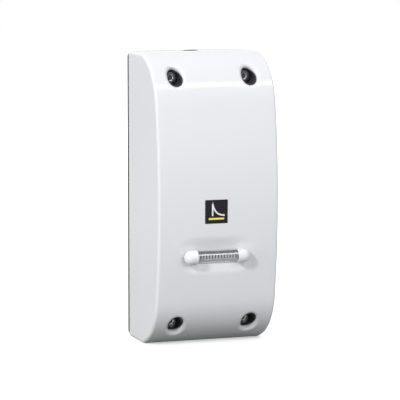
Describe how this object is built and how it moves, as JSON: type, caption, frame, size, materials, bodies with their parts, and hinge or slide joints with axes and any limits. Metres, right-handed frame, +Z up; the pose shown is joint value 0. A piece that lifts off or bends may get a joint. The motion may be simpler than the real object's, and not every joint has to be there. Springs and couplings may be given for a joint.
{
  "type": "lightning strike counter",
  "caption": "Tall curved counter case on a flat back plate that clamps round a down conductor, with a clear indicator tube and a lift-off cover on recessed screws.",
  "frame": {"origin": "middle of the back plate's rear face, where the case lies against the wall or pole", "axes": "+Z up along the case and the down conductor, front of the case towards -Y, +X to the right seen from the front"},
  "size_m": [0.082, 0.0716, 0.19],
  "materials": {
    "cover_white": "satin moulded ABS",
    "cap_white": "glossy moulded",
    "plate_grey": "fine moulded texture",
    "black_rubber": "matt",
    "insert_brass": "turned",
    "zinc_plated": "bright zinc plate",
    "black_steel": "black oxide",
    "clear_tube": "clear polycarbonate",
    "icon_black": "printed film",
    "board_green": "solder resist",
    "board_dark": "dark solder resist",
    "reflector_white": "moulded",
    "bar_smoke": "smoked",
    "lead_black": "sleeved",
    "chip_black": "moulded epoxy",
    "capacitor_sleeve": "shrink sleeve",
    "arrester_ceramic": "glazed with metal ends",
    "resistor_tan": "lacquered",
    "bright_can": "drawn can",
    "button_red": "moulded",
    "core_ferrite": "sintered",
    "winding_copper": "enamelled wire",
    "cell_sleeve": "sleeved steel can",
    "contact_tin": "tin plate"
  },
  "bodies": {
    "base": {"back_plate": "plate_grey", "base_gasket": "black_rubber", "cover_screw_inserts": "insert_brass", "clamp_screw_inserts": "insert_brass", "top_entry_seal": "black_rubber", "bottom_entry_seal": "black_rubber"},
    "top_strap": {"top_clamp_strap": "zinc_plated"},
    "bottom_strap": {"bottom_clamp_strap": "zinc_plated"},
    "cover": {"front_cover": "cover_white", "pocket_bushes": "black_rubber", "icon_plate": "icon_black", "window_tube": "clear_tube", "window_cap_left": "cap_white", "window_cap_right": "cap_white", "cap_clips": "zinc_plated", "indicator_board": "board_dark", "indicator_reflector": "reflector_white", "indicator_bars": "bar_smoke", "indicator_lead": "lead_black", "indicator_socket": "reflector_white", "main_board": "board_green", "board_screws": "zinc_plated", "microcontroller": "chip_black", "wireless_module": "board_dark", "storage_capacitors": "capacitor_sleeve", "surge_arresters": "arrester_ceramic", "burden_resistors": "resistor_tan", "data_connector": "chip_black", "clock_crystal": "bright_can", "clock_cell_holder": "chip_black", "clock_cell": "bright_can", "service_switch": "chip_black", "core_half_left": "core_ferrite", "core_half_right": "core_ferrite", "core_clip": "zinc_plated", "coil_bobbin": "chip_black", "coil_winding": "winding_copper", "battery_holder": "chip_black", "battery_cell": "cell_sleeve", "battery_contacts": "contact_tin", "battery_spring": "contact_tin"},
    "plunger": {"switch_plunger": "button_red"},
    "top_strap_screw_left": {"top_clamp_screw_left": "zinc_plated"},
    "top_strap_screw_right": {"top_clamp_screw_right": "zinc_plated"},
    "bottom_strap_screw_left": {"bottom_clamp_screw_left": "zinc_plated"},
    "bottom_strap_screw_right": {"bottom_clamp_screw_right": "zinc_plated"},
    "washer_top_left": {"washer_top_left": "zinc_plated"},
    "screw_top_left": {"screw_top_left": "black_steel"},
    "washer_top_right": {"washer_top_right": "zinc_plated"},
    "screw_top_right": {"screw_top_right": "black_steel"},
    "washer_bottom_left": {"washer_bottom_left": "zinc_plated"},
    "screw_bottom_left": {"screw_bottom_left": "black_steel"},
    "washer_bottom_right": {"washer_bottom_right": "zinc_plated"},
    "screw_bottom_right": {"screw_bottom_right": "black_steel"}
  },
  "joints": [
    {"name": "cover_lift", "type": "slide", "parent": "base", "child": "cover", "axis": [0, -1, 0], "range_m": [0, 0.06]},
    {"name": "top_strap_open", "type": "slide", "parent": "base", "child": "top_strap", "axis": [0, -1, 0], "range_m": [0, 0.003]},
    {"name": "top_strap_screw_left_turn", "type": "hinge", "parent": "top_strap", "child": "top_strap_screw_left", "pos_m": [-0.0125, -0.0082, 0.076], "axis": [0, -1, 0], "range_deg": [0, 1545]},
    {"name": "top_strap_screw_right_turn", "type": "hinge", "parent": "top_strap", "child": "top_strap_screw_right", "pos_m": [0.0125, -0.0082, 0.076], "axis": [0, -1, 0], "range_deg": [0, 1545]},
    {"name": "bottom_strap_open", "type": "slide", "parent": "base", "child": "bottom_strap", "axis": [0, -1, 0], "range_m": [0, 0.003]},
    {"name": "bottom_strap_screw_left_turn", "type": "hinge", "parent": "bottom_strap", "child": "bottom_strap_screw_left", "pos_m": [-0.0125, -0.0082, -0.076], "axis": [0, -1, 0], "range_deg": [0, 1545]},
    {"name": "bottom_strap_screw_right_turn", "type": "hinge", "parent": "bottom_strap", "child": "bottom_strap_screw_right", "pos_m": [0.0125, -0.0082, -0.076], "axis": [0, -1, 0], "range_deg": [0, 1545]},
    {"name": "screw_top_left_back_out", "type": "slide", "parent": "cover", "child": "washer_top_left", "axis": [0, -1, 0], "range_m": [0, 0.0072]},
    {"name": "screw_top_left_turn", "type": "hinge", "parent": "washer_top_left", "child": "screw_top_left", "pos_m": [-0.0252, -0.04, 0.0795], "axis": [0, -1, 0], "range_deg": [0, 3245]},
    {"name": "screw_top_right_back_out", "type": "slide", "parent": "cover", "child": "washer_top_right", "axis": [0, -1, 0], "range_m": [0, 0.0072]},
    {"name": "screw_top_right_turn", "type": "hinge", "parent": "washer_top_right", "child": "screw_top_right", "pos_m": [0.0252, -0.04, 0.0795], "axis": [0, -1, 0], "range_deg": [0, 3245]},
    {"name": "screw_bottom_left_back_out", "type": "slide", "parent": "cover", "child": "washer_bottom_left", "axis": [0, -1, 0], "range_m": [0, 0.0072]},
    {"name": "screw_bottom_left_turn", "type": "hinge", "parent": "washer_bottom_left", "child": "screw_bottom_left", "pos_m": [-0.0252, -0.04, -0.0795], "axis": [0, -1, 0], "range_deg": [0, 3245]},
    {"name": "screw_bottom_right_back_out", "type": "slide", "parent": "cover", "child": "washer_bottom_right", "axis": [0, -1, 0], "range_m": [0, 0.0072]},
    {"name": "screw_bottom_right_turn", "type": "hinge", "parent": "washer_bottom_right", "child": "screw_bottom_right", "pos_m": [0.0252, -0.04, -0.0795], "axis": [0, -1, 0], "range_deg": [0, 3245]},
    {"name": "switch_press", "type": "slide", "parent": "cover", "child": "plunger", "axis": [0, 1, 0], "range_m": [0, 0.00025], "stiffness_N_per_m": 200, "springref_m": -0.0005}
  ],
  "couplings": [
    {"joint": "top_strap_screw_left_turn", "follows": "top_strap_open", "rad_per_m": 8976},
    {"joint": "top_strap_screw_right_turn", "follows": "top_strap_open", "rad_per_m": 8976},
    {"joint": "bottom_strap_screw_left_turn", "follows": "bottom_strap_open", "rad_per_m": 8976},
    {"joint": "bottom_strap_screw_right_turn", "follows": "bottom_strap_open", "rad_per_m": 8976},
    {"joint": "screw_top_left_turn", "follows": "screw_top_left_back_out", "rad_per_m": 7854},
    {"joint": "screw_top_right_turn", "follows": "screw_top_right_back_out", "rad_per_m": 7854},
    {"joint": "screw_bottom_left_turn", "follows": "screw_bottom_left_back_out", "rad_per_m": 7854},
    {"joint": "screw_bottom_right_turn", "follows": "screw_bottom_right_back_out", "rad_per_m": 7854}
  ]
}
